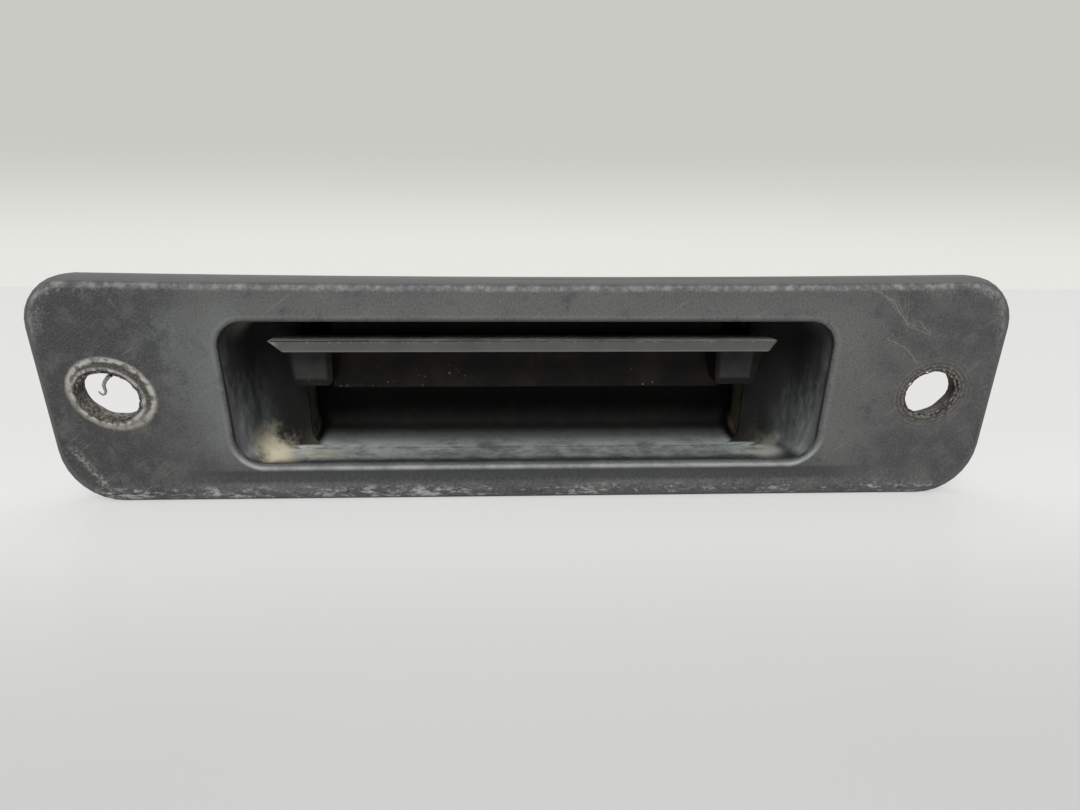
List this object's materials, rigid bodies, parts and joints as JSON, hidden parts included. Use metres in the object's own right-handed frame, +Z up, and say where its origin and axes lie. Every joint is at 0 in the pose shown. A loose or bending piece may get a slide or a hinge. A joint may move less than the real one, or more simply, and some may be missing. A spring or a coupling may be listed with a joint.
{
  "type": "tailgate handle",
  "caption": "Weathered black vehicle tailgate handle: a wide bezel with a finger cup, a sprung pull lever across it, and a release crank behind.",
  "frame": {"origin": "middle of the overall box at its base, on the surface that the handle stands on", "axes": "+X along the handle to its right end as seen from the front, +Y from its face to its back, +Z up"},
  "size_m": [0.2196, 0.0522, 0.0518],
  "materials": {
    "weathered_black_plastic": "weathered, greyed and scuffed",
    "lever_black_plastic": "satin, dusty",
    "black_nylon": "satin",
    "rubber": "matte",
    "gasket_foam": "matte closed-cell foam",
    "zinc_plated_steel": "dull zinc plate",
    "spring_steel": "bright drawn wire",
    "brass": "turned"
  },
  "bodies": {
    "bezel_body": {"bezel": "weathered_black_plastic", "gasket": "gasket_foam", "insert_lower_left": "brass", "insert_upper_left": "brass", "insert_lower_right": "brass", "insert_upper_right": "brass", "bush_left": "black_nylon", "bush_right": "black_nylon", "buffer_left": "rubber", "buffer_right": "rubber", "return_spring": "spring_steel", "rod_bracket": "zinc_plated_steel", "rod_guide": "black_nylon", "bracket_screw_inner": "zinc_plated_steel", "bracket_screw_outer": "zinc_plated_steel"},
    "lever_body": {"lever": "lever_black_plastic", "hinge_shaft": "zinc_plated_steel", "drive_pin": "zinc_plated_steel", "crank": "zinc_plated_steel", "shaft_clip_left": "spring_steel", "shaft_clip_right": "spring_steel"},
    "swivel_body": {"rod_swivel": "zinc_plated_steel", "swivel_clip": "spring_steel"}
  },
  "joints": [
    {"name": "lever_pull", "type": "hinge", "parent": "bezel_body", "child": "lever_body", "pos_m": [0, -0.0026, 0.0375], "axis": [-1, 0, 0], "range_deg": [0, 15], "stiffness_Nm_per_rad": 0.2, "springref_deg": -17.19, "deforming": ["return_spring"]},
    {"name": "swivel_turn", "type": "hinge", "parent": "lever_body", "child": "swivel_body", "pos_m": [0.07, 0.0153, 0.03562], "axis": [1, 0, 0], "continuous": true}
  ]
}
